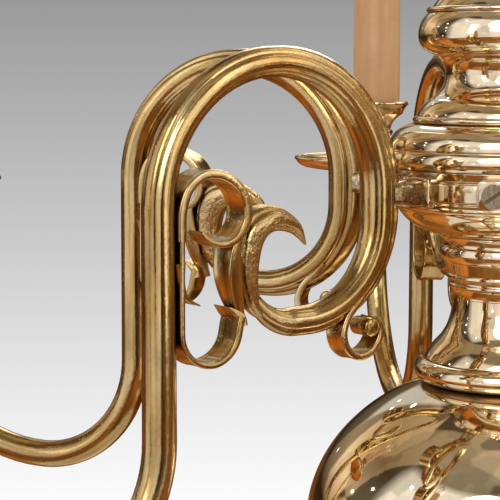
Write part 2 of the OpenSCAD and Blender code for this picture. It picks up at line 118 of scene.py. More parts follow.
def between(a, b, c, d, t):
    """A value on the smooth curve through a, b, c and d, a share t of the way from b to c."""
    return 0.5 * (2 * b + (c - a) * t + (2 * a - 5 * b + 4 * c - d) * t * t
                  + (3 * b - a - 3 * c + d) * t ** 3)


def flow(points, steps=10):
    """A smooth curve through every point; each point may carry any number of values."""
    ends = [points[0]] + list(points) + [points[-1]]
    out = []
    for i in range(len(points) - 1):
        for j in range(steps):
            out.append(tuple(between(*near, j / steps) for near in zip(*ends[i:i + 4])))
    return out + [tuple(points[-1])]


def soften(line, radius=0.5, sharp=22):
    """The line with each corner of more than sharp degrees rounded off."""
    out = [line[0]]
    for before, here, after in zip(line, line[1:], line[2:]):
        a, p, b = Vector(before), Vector(here), Vector(after)
        la, lb = (a - p).length, (b - p).length
        if min(la, lb) < 1e-6 or math.degrees((p - a).angle(b - p, 0)) < sharp:
            out.append(here)
            continue
        cut = min(radius, la * 0.45, lb * 0.45)
        out += bow(p + (a - p) / la * cut, p, p + (b - p) / lb * cut, 4)
    return out + [line[-1]]


def spaced(points, step):
    """Even steps along a line of points, and the line's whole length."""
    total = [0.0]
    for a, b in zip(points, points[1:]):
        total.append(total[-1] + math.dist(a[:2], b[:2]))
    count = max(4, round(total[-1] / step))
    out, k = [], 0
    for i in range(count + 1):
        want = total[-1] * i / count
        while k < len(points) - 2 and total[k + 1] < want:
            k += 1
        span = total[k + 1] - total[k]
        t = (want - total[k]) / span if span > 1e-9 else 0
        out.append(tuple(a + (b - a) * t for a, b in zip(points[k], points[k + 1])))
    return out, total[-1]


def hump(x, middle, width):
    """A smooth bump, 1 high at the middle."""
    return math.exp(-((x - middle) / width) ** 2)


# ---------------------------------------------------------------- sections for Shape.sweep
def squared(value, power):
    """A sine or cosine raised to a power with its sign kept: under 1, it squares a round section off."""
    return math.copysign(abs(value) ** power, value)


def soft_square(high, wide, power):
    """A rounded square with these half sides, scaled by the path's first value."""
    def section(share, turn, values):
        return (high * values[0] * squared(math.cos(turn), power),
                wide * values[0] * squared(math.sin(turn), power))
    return section


def round_wire(radius):
    return lambda share, turn, values: (radius * math.cos(turn), radius * math.sin(turn))


# ---------------------------------------------------------------- meshes
SHARP_EDGE = 38     # degrees between faces, over which an edge isn't smoothed


class Shape:
    """Gathers swept and turned surfaces into one mesh. Each point also keeps its place along and round
    its own piece, as the vector "along", so that a grain can follow the metal."""

    def __init__(self):
        self.points, self.faces, self.along = [], [], []

    def add(self, point, along):
        """Adds a point, and gives its number."""
        self.points.append(tuple(point))
        self.along.append(tuple(along))
        return len(self.points) - 1

    def join(self, part, move):
        """Adds another shape's surface, with each of its points put through move."""
        start = len(self.points)
        for point, along in zip(part.points, part.along):
            self.add(move(*point), along)
        self.faces += [tuple(v + start for v in face) for face in part.faces]

    def skin(self, rings, closed=False):
        """Faces from ring to ring of points, with a cap at each end unless the rings close on themselves."""
        around = len(rings[0])
        pairs = list(zip(rings, rings[1:])) + ([(rings[-1], rings[0])] if closed else [])
        for a, b in pairs:
            for i in range(around):
                j = (i + 1) % around
                self.faces.append((a[i], a[j], b[j], b[i]))
        if not closed:
            self.faces.append(tuple(reversed(rings[0])))
            self.faces.append(tuple(rings[-1]))

    def sweep(self, path, section, around, step):
        """Sweeps section(share, angle, values) along a path in the arm's upright plane. The section gives
        a point's distance outward in that plane and its distance across it."""
        line, length = spaced(path, step)
        rings = []
        for i, here in enumerate(line):
            a, b = line[max(0, i - 1)], line[min(len(line) - 1, i + 1)]
            run = math.dist(a[:2], b[:2]) or 1
            out = (-(b[1] - a[1]) / run, (b[0] - a[0]) / run)
            share = i / (len(line) - 1)
            ring = []
            for k in range(around):
                o, w = section(share, 2 * math.pi * k / around, here[2:])
                point = (here[0] + out[0] * o, w, here[1] + out[1] * o)
                ring.append(self.add(point, (o, w, share * length)))
            rings.append(ring)
        self.skin(rings)

    def turned(self, line, x=0.0, around=128, ripple=None):
        """A surface turned about the upright axis at x. The ripple adds to a point's radius."""
        rings = []
        for r, z in line:
            ring = []
            for k in range(around):
                turn = 2 * math.pi * k / around
                rr = r + (ripple(r, z, turn) if ripple else 0)
                c, s = rr * math.cos(turn), rr * math.sin(turn)
                ring.append(self.add((x + c, s, z), (c, s, z)))
            rings.append(ring)
        self.skin(rings)

    def ribbon(self, path, wide, thick, around=36):
        """A strip with raised rims; wide and thick are functions of the share of the way along."""
        def section(share, turn, values):
            across, deep = squared(math.sin(turn), 0.42), squared(math.cos(turn), 0.42)
            rim = 0.66 + 0.46 * abs(across) ** 4
            return deep * thick(share) / 2 * rim, across * wide(share) / 2
        self.sweep(path, section, around, 0.7)

    def mesh(self, name, material):
        mesh = bpy.data.meshes.new(name)
        mesh.from_pydata([Vector(p) * MM for p in self.points], [], self.faces)
        grain = mesh.attributes.new("along", "FLOAT_VECTOR", "POINT")
        grain.data.foreach_set("vector", [v * MM for p in self.along for v in p])
        mesh.polygons.foreach_set("use_smooth", [True] * len(mesh.polygons))
        mesh.set_sharp_from_angle(angle=math.radians(SHARP_EDGE))
        mesh.materials.append(material)
        return mesh

    def build(self, name, material, slot, body="fixture"):
        """Makes the shape one piece, where it was drawn."""
        return place_piece(name, self.mesh(name, material), body)

    def build_each(self, name, material, slot, node=None, out=0.0):
        """Makes a piece for each arm, moved out from the stem. It stands for that arm's node, if any."""
        mesh = self.mesh(name, material)
        for i in range(ARMS):
            turn = i * 2 * math.pi / ARMS
            piece = place_piece(f"{name}_{i + 1}", mesh, turn=turn, out=out)
            if node:
                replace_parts(piece, f"{node}_{i + 1}")


def place_piece(name, mesh, body="fixture", turn=0.0, out=0.0):
    """Adds a piece with its move out and its turn worked into its own copy of the mesh."""
    mesh = mesh.copy()
    mesh.transform(Matrix.Rotation(turn, 4, "Z") @ Matrix.Translation(Vector((out, 0, 0)) * MM))
    piece = bpy.data.objects.new(name, mesh)
    bpy.context.scene.collection.objects.link(piece)
    piece.matrix_world = Matrix.Translation((0, 0, HUB))
    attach(piece, body)
    return piece


# ---------------------------------------------------------------- materials
class Nodes:
    """A small helper for building a node tree."""

    def __init__(self, tree):
        self.tree = tree

    def put(self, node, name, value):
        """Links or sets one of a node's inputs."""
        socket = node.inputs[name]
        if isinstance(value, bpy.types.NodeSocket):
            self.tree.links.new(value, socket)
        else:
            socket.default_value = value

    def node(self, kind, inputs=(), **settings):
        node = self.tree.nodes.new(kind)
        for key, value in settings.items():
            setattr(node, key, value)
        for key, value in dict(inputs).items():
            self.put(node, key, value)
        return node

    def math(self, operation, a, b=0.0):
        return self.node("ShaderNodeMath", {0: a, 1: b}, operation=operation).outputs[0]

    def stretched(self, vector, scale):
        return self.node("ShaderNodeMapping", {"Vector": vector, "Scale": scale}).outputs[0]

    def noise(self, vector, scale, detail=4.0, rough=0.55):
        given = {"Vector": vector, "Scale": scale, "Detail": detail, "Roughness": rough}
        return self.node("ShaderNodeTexNoise", given).outputs["Fac"]

    def ramp(self, fac, stops):
        node = self.node("ShaderNodeValToRGB", {"Fac": fac})
        ramp = node.color_ramp
        while len(ramp.elements) < len(stops):
            ramp.elements.new(0.5)
        for element, (at, colour) in zip(ramp.elements, stops):
            element.position = at
            element.color = (*colour, 1)
        return node.outputs["Color"]

    def grade(self, fac, low, high, start=0.3, end=0.7):
        """Runs from low to high as fac goes from start to end."""
        given = {"Value": fac, "From Min": start, "From Max": end, "To Min": low, "To Max": high}
        return self.node("ShaderNodeMapRange", given).outputs[0]

    def mix(self, fac, a, b, how="MIX"):
        node = self.node("ShaderNodeMix", data_type="RGBA", blend_type=how)
        self.put(node, 0, fac)
        self.put(node, 6, a)
        self.put(node, 7, b)
        return node.outputs[2]


class Look(Nodes):
    """One material."""

    def __init__(self, name):
        self.material = bpy.data.materials.new(name)
        self.material.use_nodes = True
        super().__init__(self.material.node_tree)
        self.shader = self.tree.nodes["Principled BSDF"]

    def along(self):
        """The place along and round the piece."""
        return self.node("ShaderNodeAttribute", attribute_name="along").outputs["Vector"]

    def position(self):
        return self.node("ShaderNodeNewGeometry").outputs["Position"]

    def bump(self, height, depth, strength=1.0, under=None):
        given = {"Height": height, "Distance": depth, "Strength": strength}
        if under:
            given["Normal"] = under
        return self.node("ShaderNodeBump", given).outputs[0]

    def crevice(self, reach):
        """1 in the open, falling to 0 in corners within reach."""
        return self.node("ShaderNodeAmbientOcclusion", {"Distance": reach}, samples=6).outputs["AO"]

    def corner_shade(self, reach, end):
        """Painted shade: 1 deep in corners within reach, 0 in the open."""
        return self.grade(self.crevice(reach), 1, 0, 0.25, end)

    def with_painted_shade(self, colour, corner_shade, strength, shade_tint):
        """The colour with painted shade, in the given tint, where the mask is 1."""
        return self.mix(self.math("MULTIPLY", corner_shade, strength), colour, (*shade_tint, 1))

    def done(self, colour, roughness, normal=None, **fixed):
        for name, value in (("Base Color", colour), ("Roughness", roughness), ("Normal", normal)):
            if value is not None:
                self.put(self.shader, name, value)
        for name, value in fixed.items():
            self.shader.inputs[name.replace("_", " ")].default_value = value
        return self.material


def polished_brass(name, pale=(0.88, 0.80, 0.63), warm=(0.78, 0.61, 0.37), rough=(0.035, 0.10)):
    """Lacquered turned brass: fine lathe lines round the piece, a smeared gloss and painted shade in the
    corners.
    """
    look = Look(name)
    along = look.along()
    parts = look.node("ShaderNodeSeparateXYZ", {"Vector": along})
    radius = look.math("SQRT", look.math("ADD", look.math("POWER", parts.outputs[0], 2.0),
                                         look.math("POWER", parts.outputs[1], 2.0)))
    rings = look.node("ShaderNodeCombineXYZ", {"X": radius, "Z": parts.outputs[2]}).outputs[0]
    lines = look.noise(rings, 2600.0, 2.0)
    patches = look.noise(look.position(), 26.0, 5.0)
    smear = look.noise(look.stretched(along, (1, 1, 4)), 90.0, 6.0, 0.65)
    colour = look.mix(look.grade(patches, 0, 1), (*pale, 1), (*warm, 1))
    corner_shade = look.corner_shade(0.006, 0.85)
    # Painted shade: the colour darkens to brown in corners, following the occlusion mask
    colour = look.with_painted_shade(colour, corner_shade, 0.75, (0.20, 0.10, 0.03))
    gloss = look.math("ADD", look.grade(smear, *rough), look.math("MULTIPLY", corner_shade, 0.25))
    wave = look.bump(look.noise(look.position(), 45.0, 2.0), 0.0005, 0.25)
    return look.done(colour, gloss, look.bump(lines, 0.00001, 0.35, wave), Metallic=1.0)


def cast_brass(name, filed=0.14):
    """Hand-finished cast brass: grain drawn along the metal, painted shade in its hollows, with filed
    ripples.
    """
    look = Look(name)
    along = look.along()
    streaks = look.noise(look.stretched(along, (1, 1, 0.035)), 520.0, 5.0, 0.6)
    broad = look.noise(look.stretched(along, (1, 1, 0.10)), 150.0, 3.0)
    patches = look.noise(look.position(), 38.0, 5.0)
    ripple = look.noise(look.stretched(along, (1, 1, 0.6)), 420.0, 4.0, 0.6)
    grain = look.math("ADD", look.math("MULTIPLY", broad, 0.80), look.math("MULTIPLY", streaks, 0.20))
    colour = look.ramp(grain, [(0.32, (0.27, 0.14, 0.04)), (0.45, (0.48, 0.31, 0.11)),
                               (0.55, (0.64, 0.46, 0.21)), (0.70, (0.82, 0.67, 0.41))])
    colour = look.mix(look.grade(patches, 0, 0.5, 0.4, 0.65), colour, (0.36, 0.28, 0.15, 1))
    # Painted shade: the colour darkens to deep brown in hollows, following the occlusion mask
    colour = look.with_painted_shade(colour, look.corner_shade(0.005, 0.8), 0.7, (0.15, 0.07, 0.02))
    worn = look.grade(patches, 0.0, 1.0, 0.35, 0.6)
    gloss = look.math("ADD", look.grade(streaks, 0.09, 0.18), look.math("MULTIPLY", worn, 0.06))
    under = look.bump(ripple, 0.0008, filed)
    return look.done(colour, gloss, look.bump(streaks, 0.00012, 0.4, under), Metallic=1.0)


def filed_brass(name):
    """Duller brass with file marks across it and casting pits."""
    look = Look(name)
    along = look.along()
    marks = look.noise(look.stretched(along, (1, 0.25, 1)), 700.0, 6.0, 0.7)
    pits = look.noise(along, 110.0, 3.0)
    colour = look.ramp(marks, [(0.3, (0.18, 0.12, 0.06)), (0.5, (0.38, 0.29, 0.17)),
                               (0.7, (0.60, 0.50, 0.33))])
    under = look.bump(pits, 0.0010, 0.3)
    return look.done(colour, look.grade(marks, 0.12, 0.24), look.bump(marks, 0.0001, 0.25, under),
                     Metallic=1.0)


def solid_brass(name, pale, dark, rough):
    """Brass for the CAD's own solids, which carry no grain, with painted shade in their corners."""
    look = Look(name)
    patches = look.noise(look.position(), 60.0, 5.0)
    fine = look.noise(look.position(), 900.0, 4.0)
    colour = look.mix(look.grade(patches, 0, 1), (*pale, 1), (*dark, 1))
    # Painted shade: the colour darkens to brown in corners, following the occlusion mask
    colour = look.with_painted_shade(colour, look.corner_shade(0.005, 0.8), 0.8, (0.14, 0.07, 0.02))
    return look.done(colour, look.grade(fine, *rough), look.bump(fine, 0.00008, 0.4), Metallic=1.0)


def candle_card(name):
    """A sleeve's waxed card, mottled and streaked downward."""
    look = Look(name)
    along = look.along()
    mottle = look.noise(along, 120.0, 5.0)
    runs = look.noise(look.stretched(along, (1, 1, 0.12)), 160.0, 3.0)
    colour = look.mix(look.grade(runs, 0, 1), (0.47, 0.245, 0.105, 1), (0.54, 0.32, 0.155, 1))
    colour = look.mix(look.grade(mottle, 0, 0.35), colour, (0.41, 0.20, 0.08, 1))
    return look.done(colour, look.grade(mottle, 0.38, 0.55), look.bump(mottle, 0.0002, 0.3),
                     Subsurface_Weight=0.35, Subsurface_Radius=(0.006, 0.003, 0.0015))


def glazed(name, tint, rough=(0.12, 0.25)):
    """Speckled ceramic or wire covering under a clear coat."""
    look = Look(name)
    spots = look.noise(look.position(), 240.0, 4.0)
    colour = look.mix(look.grade(spots, 0, 0.5), (*tint, 1), tuple(0.82 * c for c in tint) + (1,))
    return look.done(colour, look.grade(spots, *rough), look.bump(spots, 0.00008, 0.3), Coat_Weight=0.5)


def grey_steel(name, light, dark, rough=(0.25, 0.45)):
    """Steel with an upright grain, a little rust and painted shade in its corners."""
    look = Look(name)
    grain = look.noise(look.stretched(look.position(), (1, 1, 0.2)), 1400.0, 5.0, 0.65)
    rust = look.noise(look.position(), 160.0, 5.0)
    colour = look.mix(look.grade(grain, 0, 1), (*light, 1), (*dark, 1))
    colour = look.mix(look.grade(rust, 0, 0.5, 0.5, 0.75), colour, (0.25, 0.15, 0.08, 1))
    # Painted shade: the colour goes nearly black in corners, where the occlusion is deep
    colour = look.mix(look.grade(look.crevice(0.003), 0.9, 0, 0.3, 0.8), colour, (0.03, 0.02, 0.01, 1))
    return look.done(colour, look.grade(grain, *rough), look.bump(grain, 0.00005, 0.4), Metallic=1.0)


def bulb_glass(name):
    """Clear glass with a faint film."""
    look = Look(name)
    film = look.noise(look.along(), 90.0, 3.0)
    colour = look.mix(look.grade(film, 0, 1), (1, 0.99, 0.96, 1), (0.96, 0.95, 0.90, 1))
    return look.done(colour, look.grade(film, 0.0, 0.04), Transmission_Weight=1.0, IOR=1.45)


BRASS = polished_brass("polished_brass")
BALL_BRASS = polished_brass("ball_brass", (0.89, 0.81, 0.65), (0.82, 0.68, 0.45), (0.025, 0.06))
PAN_BRASS = polished_brass("pan_brass", (0.84, 0.72, 0.50), (0.72, 0.54, 0.30), (0.12, 0.24))
ARM_BRASS = cast_brass("arm_brass")
LEAF_BRASS = cast_brass("leaf_brass", 0.95)
LUG_BRASS = filed_brass("filed_brass")
EYE_BRASS = solid_brass("eye_brass", (0.72, 0.53, 0.25), (0.50, 0.33, 0.13), (0.2, 0.32))
FINIAL_BRASS = solid_brass("finial_brass", (0.84, 0.72, 0.50), (0.72, 0.54, 0.30), (0.07, 0.16))
CARD = candle_card("candle_card")
CERAMIC = glazed("ceramic", (0.86, 0.84, 0.78))
WIRE = glazed("wire_cover", (0.78, 0.74, 0.64), (0.4, 0.55))
STEEL = grey_steel("steel", (0.62, 0.60, 0.56), (0.44, 0.42, 0.38))
SCREW = grey_steel("screw_steel", (0.38, 0.32, 0.23), (0.16, 0.12, 0.07), (0.12, 0.24))
GLASS = bulb_glass("bulb_glass")


# ---------------------------------------------------------------- stem
BALL_NECK_R = 36    # where the ball's upper half opens under its collar
BALL_SEAM = 0.15    # half the gap between the ball's halves
SCREW_TURN = 37     # degrees from an arm's pad to the pad of the screw beside it


def roll(low, high, inner, radius):
    """A ring between two heights whose outer edge is a half-round bead standing out from radius."""
    return [(inner, low)] + arc(radius, (low + high) / 2, (high - low) / 2, -90, 90, 15) + [(inner, high)]


def stem_outlines():
    """Each turned piece's outline from the bottom up, as radius and height."""
    def low(node):
        return height(node, 0)

    def top(node):
        return height(node, 1)

    def roll_at(node, inner, radius):
        return roll(low(node), top(node), inner, radius)

    bead, knop = low("upper_bead"), low("top_knop")
    band, cup, ball = low("hub_ring"), low("bottom_cup"), BALL_LOW
    return {
        "top_knop": [(6, knop)]
        + bows((13, knop + 0.3), (23, 159), (22, 170), (21, 180), (11, 183))
        + [(10, 184.6), (11.4, 185.8), (11.4, top("top_knop")), (6, top("top_knop"))],
        "upper_bead": roll(bead, knop, 6, 17.3),
        "upper_baluster":
        bows((35.5, top("knop_ring")), (33.6, 79.5), (25, 88), (12.5, 99), (11.5, 118),
             (11.5, 124), (15, 130), (19, 138), (15.5, 146)) + [(15, bead)],
        "knop_ring": roll_at("knop_ring", 30, 36.7),
        "stem_knop":
        bows((41.6, 30.2), (41, 33.5), (36.6, 36.9), (29.5, 41.5), (29.5, 47.5), (29.6, 53), (33.2, 55.2))
        + [(34, 55.5)] + bows((34.2, 56), (41.6, 58.3), (41.3, 64.5), (41.2, 70), (37.4, 73.4)),
        "bead_ring": roll_at("bead_ring", 36, 41.7),
        "hub_cap": [(50.8, 8.5)] + bow((52.3, 8.6), (55.4, 11.6), (53.0, 15.6)) + [(52.4, 16.3)]
        + bows((53.0, 16.8), (53.4, 21), (49.6, 24.2), (47.5, 25.8), (43.8, 27)) + [(36, 27)],
        "hub_band": [(46, band), (50.5, band), (50.7, band + 1.2), (50.2, band + 1.5), (50.2, band + 2.1),
                     (50.8, band + 2.4), (50.8, 3.6), (50.2, 3.9), (50.2, 4.5), (51.0, 4.9), (51.8, 8.4),
                     (46, 8.5)],
        "hub_bowl": bow((31.3, -20.1), (44, -17.5), (48.9, -9.4))
        + bow((49.4, -9), (51.6, -7.6), (50.6, -6.0)) + [(44, -6)],
        "hub_spool": [(20, -47)] + bow((25.4, -47), (25.4, -44.4), (26.5, -42.6))
        + [(27.6, -42.1), (27.6, -40.9), (27, -40.4), (27.2, -38.7), (28.4, -38.3), (28.4, -36.9),
           (27.8, -36.4)]
        + bow((27.8, -36.4), (28.5, -33.6), (29.2, -31.5)) + bow((29.7, -31.2), (32.2, -28), (30.5, -25))
        + [(29.9, -24.4)] + bow((29.9, -24), (29.8, -22), (31.3, -20.2)) + [(24, -20.1)],
        "lower_neck": [(30, -73.5)]
        + bows((37.3, -73.4), (35.6, -69.4), (31.6, -65.2), (25.8, -59.5), (25.4, -47)),
        "ball_collar": roll_at("ball_collar", 30, 36.8),
        "bottom_cup": [(5.2, cup), (9.4, cup + 0.3), (9.4, cup + 2)]
        + bow((9.2, cup + 2.6), (19, cup + 6), (19.4, ball - 3.4)) + [(17.4, ball - 0.2), (5.2, ball)],
    }


def make_stem():
    for name, line in stem_outlines().items():
        shape = Shape()
        shape.turned(soften(line), around=192)
        piece = shape.build("stem." + name, BRASS, "polished_brass")
        # The band isn't a CAD node of its own: with the pads, it stands for the CAD's hub_ring
        if name != "hub_band":
            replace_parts(piece, name)


def ball_outline(start, end):
    """The flattened ball's outline between two heights."""
    rise = (BALL_TOP - BALL_MID) / math.sqrt(1 - (BALL_NECK_R / BALL_R) ** 2)
    turns = [math.asin((h - BALL_MID) / rise) for h in (start, end)]
    return [(BALL_R * math.cos(t), BALL_MID + rise * math.sin(t))
            for t in (turns[0] + (turns[1] - turns[0]) * i / 64 for i in range(65))]


def make_ball():
    """The ball's two halves, each with a small lip turned in at the seam between them."""
    upper = ball_outline(BALL_MID + BALL_SEAM, BALL_TOP)
    lower = ball_outline(BALL_LOW, BALL_MID - BALL_SEAM)
    lines = {
        "ball_upper": [(upper[0][0] - 0.7, upper[0][1] - 0.1)] + upper,
        "ball_lower": [(lower[0][0] - 8, lower[0][1])] + lower + [(lower[-1][0] - 0.7, lower[-1][1] + 0.1)],
    }
    for node, line in lines.items():
        ball = Shape()
        ball.turned(line, around=256)
        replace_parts(ball.build("stem." + node, BALL_BRASS, "polished_brass"), node)


def make_hub_pads():
    """The raised pads for the arms and the screws, with soft corners."""
    pad, pads = Shape(), Shape()
    pad.sweep([(48, 0, 1.0), (PAD_FACE - 0.9, 0, 1.0), (PAD_FACE - 0.4, 0, 0.985),
               (PAD_FACE - 0.1, 0, 0.95), (PAD_FACE, 0, 0.90)], soft_square(6.4, 7.4, 0.42), 48, 0.5)
    for i in range(ARMS):
        for turn in (0.0, math.radians(SCREW_TURN)):
            a = i * 2 * math.pi / ARMS + turn
            c, s = math.cos(a), math.sin(a)
            pads.join(pad, lambda x, y, z: (x * c - y * s, x * s + y * c, z))
    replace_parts(pads.build("stem.hub_pads", BRASS, "polished_brass"), "hub_ring")


# ---------------------------------------------------------------- arms
LIMB_R = 181.5      # the straight limb's centre line
BEND_Z = -86.5      # where the limb turns into the U-bend
BEND_R = 50.5       # the U-bend's inner quarter
STRIP_GAP = 6.7     # from the limb's centre line in to the strip that carries the scrolls

# Grooves along the tube: depth, place and width, in radians round from the rib
GROOVES = [(1.3, 0.88, 0.17), (0.35, 2.2, 0.16), (0.2, 1.5, 0.33)]


def arm_path():
    """The arm's centre line from the tip of its tail to the candle, with the tube's half width, the height
    of the outer rib and the depth of the grooves."""
    outer_R = CANDLE_R - LIMB_R - BEND_R
    outer_z = BEND_Z - BEND_R + outer_R
    runs = [
        (arc(120.5, -26.5, 20.5, 372, 270), (0.5, 5.7), (0, 0), (0.2, 0.9)),
        (arc(115, -9, 38, 270, 180), (5.7, 6.9), (0, 3.8), (0.9, 1.0)),
        ([(77, -9), (77, 2.1)], (6.9, 6.9), (3.8, 4.4), (1.0, 1.0)),
        (arc(128, 2.1, 51, 180, 90), (6.9, 5.9), (4.4, 0.0), (1.0, 0.8)),
        (arc(128, -0.4, 53.5, 90, 0), (5.9, 6.3), (0, 0), (0.8, 0.35)),
        ([(LIMB_R, -0.4), (LIMB_R, BEND_Z)], (6.3, 6.5), (0, 0), (0.35, 0.12)),
        (arc(LIMB_R + BEND_R, BEND_Z, BEND_R, 180, 270), (6.5, 6.5), (0, 0), (0.12, 0.08)),
        (arc(LIMB_R + BEND_R, outer_z, outer_R, 270, 360), (6.5, 6.5), (0, 0), (0.08, 0.05)),
        ([(CANDLE_R, outer_z), (CANDLE_R, PAN_FLOOR - 1)], (6.5, 6.3), (0, 0), (0.05, 0)),
    ]
    out = []
    for points, *ranges in runs:
        n = len(points) - 1
        part = [(*p, *(a + (b - a) * i / n for a, b in ranges)) for i, p in enumerate(points)]
        out += part[1:] if out else part
    return out


def tube_section(share, turn, values):
    """A round tube with a rib along its outer side and grooves beside it."""
    half, rib, groove = values
    side = abs((turn + math.pi) % (2 * math.pi) - math.pi)
    r = half + rib * hump(side, 0, 0.42) * min(1, half / 4)
    r -= groove * min(1, half / 5) * sum(deep * hump(side, at, wide) for deep, at, wide in GROOVES)
    return r * math.cos(turn), r * math.sin(turn)


def leaf_section(share, turn, values):
    """A fat oval with a raised edge at each side and a crease down the middle."""
    thick, wide = values
    c, s = math.cos(turn), math.sin(turn)
    crest = 1 + 0.10 * hump(abs(s), 1, 0.12) - 0.12 * hump(abs(s), 0.80, 0.10) - 0.10 * hump(s, 0, 0.16)
    return thick * squared(c, 0.85) * crest, wide * squared(s, 0.9) * crest


def arm_shape():
    """The arm's casting: tube, scrolls, volute and seat."""
    arm = Shape()
    arm.sweep(arm_path(), tube_section, 72, 1.5)
    strip = LIMB_R - STRIP_GAP
    # The upper curl, from the strip beside the limb over the top and back underneath
    curl = flow([(strip, -12), (strip - 0.4, -1), (strip - 3.6, 7.0), (strip - 10, 11.4), (158, 11.6),
                 (150.6, 8.2), (145.8, 1.8), (145.4, -6.0), (149.4, -12.0), (155.6, -14.4), (161.4, -13.0),
                 (165.2, -9.6)])
    arm.ribbon(curl, lambda s: 12.8 - 3.5 * max(0, s - 0.85) / 0.15,
               lambda s: 4.4 - 2.6 * max(0, s - 0.75) / 0.25)
    # The strip, the lower scroll and its upturned end
    scroll = [(strip - 0.2, -4), (strip, -30), (strip, -46.3)] + arc(strip - 12.9, -46.3, 12.9, 0, -172) \
        + [(148.4, -44.6), (147.6, -42.0)]
    arm.ribbon(scroll, lambda s: 12.4, lambda s: 2.6 + 1.2 * max(0, s - 0.55) / 0.45)
    flare = flow([(146.8, -45.6), (147.6, -42.6), (149.8, -40.8), (153.2, -38.2)])
    arm.ribbon(flare, lambda s: 12.4 - 2.4 * s, lambda s: 3.9 - 3.3 * s + 1.8 * math.sin(math.pi * s))
    # The barb on the strip, and the blade from the curl down to the scroll's end
    barb = flow([(strip + 0.6, -20), (strip - 0.4, -28), (171.6, -33.6), (165.4, -36.6)])
    arm.ribbon(barb, lambda s: 12.2 - 5.0 * s, lambda s: 5.4 - 4.7 * s)
    blade = flow([(149.4, -12.4), (150.6, -18), (150.0, -28), (147.2, -39), (143.6, -45.5)])
    arm.ribbon(blade, lambda s: 12.6 - 8.6 * s ** 1.8,
               lambda s: 1.3 + 6.9 * math.sin(math.pi * (0.06 + 0.94 * s)))
    # The rolled volute under the loop, with its eye
    volute = flow([(85.0, -36.0), (89.6, -41.4), (94.6, -46.6), (97.2, -53.2), (95.4, -59.6), (89.8, -63.4),
                   (83.2, -62.2), (78.8, -57.6), (78.0, -52.4), (81.4, -49.2)])
    arm.ribbon(volute, lambda s: 10.8 - 1.0 * s, lambda s: 3.7)
    add_eye(arm, 82.9, -52.2, 3.7, 5.6)
    add_seat(arm)
    return arm


def add_eye(shape, r, z, radius, half):
    """A round boss lying across the arm, domed at both ends."""
    line = [(0.05, -half)]
    for t in (math.radians(turn) for turn in range(15, 91, 15)):
        line.append((radius * math.sin(t), -half + 0.9 * (1 - math.cos(t))))
    line += [(a, -b) for a, b in reversed(line)]
    part = Shape()
    part.turned(line, around=28)
    shape.join(part, lambda x, y, h: (r + x, h, z + y))


def add_seat(shape):
    """The turned seat under the drip pan."""
    top = PAN_FLOOR
    line = [(6.2, top - 17)] + bow((6.6, top - 16.5), (9.4, top - 15.6), (8.8, top - 13)) \
        + [(8.0, top - 12.4)] + bow((7.8, top - 12), (7.2, top - 6), (10.2, top - 3.6)) \
        + [(10.4, top - 3.2), (10.4, top - 0.4), (10, top)]
    shape.turned(soften(line, 0.4), CANDLE_R, 64)


def leaf_shape():
    """The leaf at the tail's end: place, half thickness in the arm's plane and half width across it."""
    leaf = Shape()
    line = [(132.5, -45.4, 0.8, 0.9), (138.6, -40.0, 2.6, 3.4), (142.0, -32.0, 4.6, 4.8),
            (143.0, -23.0, 5.8, 5.6), (142.0, -14.6, 6.5, 6.2), (138.6, -8.8, 6.7, 6.4),
            (132.0, -6.4, 5.6, 5.9), (124.8, -7.6, 4.1, 4.7), (118.0, -11.2, 2.4, 3.0),
            (113.4, -17.4, 0.4, 0.6)]
    leaf.sweep(flow(line), leaf_section, 72, 0.6)
    return leaf


def lug_shape():
    """The block that stands between the hub's pad and the arm's loop."""
    lug = Shape()
    lug.sweep([(PAD_FACE, 0, 0.93), (SCREW_R - 2.2, 0, 1.0), (SCREW_R + 5, 0, 1.0),
               (SCREW_R + 9, 0, 0.9), (71.5, 0, 0.8)], soft_square(5.9, 6.1, 0.5), 48, 0.8)
    return lug


def make_arms():
    arm_shape().build_each("arm.casting", ARM_BRASS, "arm_brass", "arm")
    leaf_shape().build_each("arm.leaf", LEAF_BRASS, "arm_brass")
    lug_shape().build_each("arm.lug", LUG_BRASS, "arm_brass")


# ---------------------------------------------------------------- candles
def pan_line():
    """A dished pan with a rolled rim and a raised middle."""
    f = PAN_FLOOR
    under = bows((9, f), (30, f), (PAN_R - 6, f + 2.8), (PAN_R - 1.6, f + 4.4), (PAN_R - 1.0, f + 7.2))
    rim = arc(PAN_R - 1.2, f + 8, 1.15, -60, 180, 20)
    upper = [(r - 0.8, z + 1.1) for r, z in reversed(under)]
    return under + rim + upper[2:] + [(13, f + 1.2), (12.8, f + 3.9), (5, f + 4)]


def cup_line():
    """A waisted cup, up its outside and over the lip."""
    f = PAN_FLOOR + 4
    return [(5, f), (11.8, f), (12, f + 1.4)] \
        + bows((9.4, f + 2.8), (6.9, 1), (7.6, 8), (10.4, 9), (10, 12.3)) \
        + bows((8.8, 13.4), (9.5, 18.5), (15.7, 22), (17, 26), (19.3, 27.6)) \
        + [(19.6, 28.5), (19.2, CUP_TOP), (17.2, CUP_TOP - 0.2), (14.6, CUP_TOP - 2), (14.3, 24)]


def sleeve_line():
    """A thin tube with a rounded upper lip."""
    r, low, top = SLEEVE_R, SLEEVE_LOW, SLEEVE_TOP
    return [(r - 1.5, low), (r, low), (r, top - 0.8), (r - 0.3, top - 0.15), (r - 0.8, top),
            (r - 1.3, top - 0.2), (r - 1.6, top - 0.9), (r - 1.6, low)]


def wax_ripple(r, z, turn):
    """Slight unevenness of the sleeve's wax coat."""
    if r < SLEEVE_R - 1:
        return 0
    return -0.07 + 0.07 * math.sin(3 * turn + z * 0.11) * math.sin(5 * turn + 1.3 + z * 0.05)


def glass_line():
    """A flame-shaped bulb, up its outside and down its inside."""
    low = SLEEVE_TOP - 1.8
    outer = bows((8, low), (9, low + 5), (14.6, low + 15), (20.2, low + 31), (10.3, low + 52),
                 (6, low + 63), (0.8, BULB_TOP))
    inner = [(max(0.2, r - 0.7), z - (0.6 if z > low + 50 else 0)) for r, z in reversed(outer)]
    return outer + inner


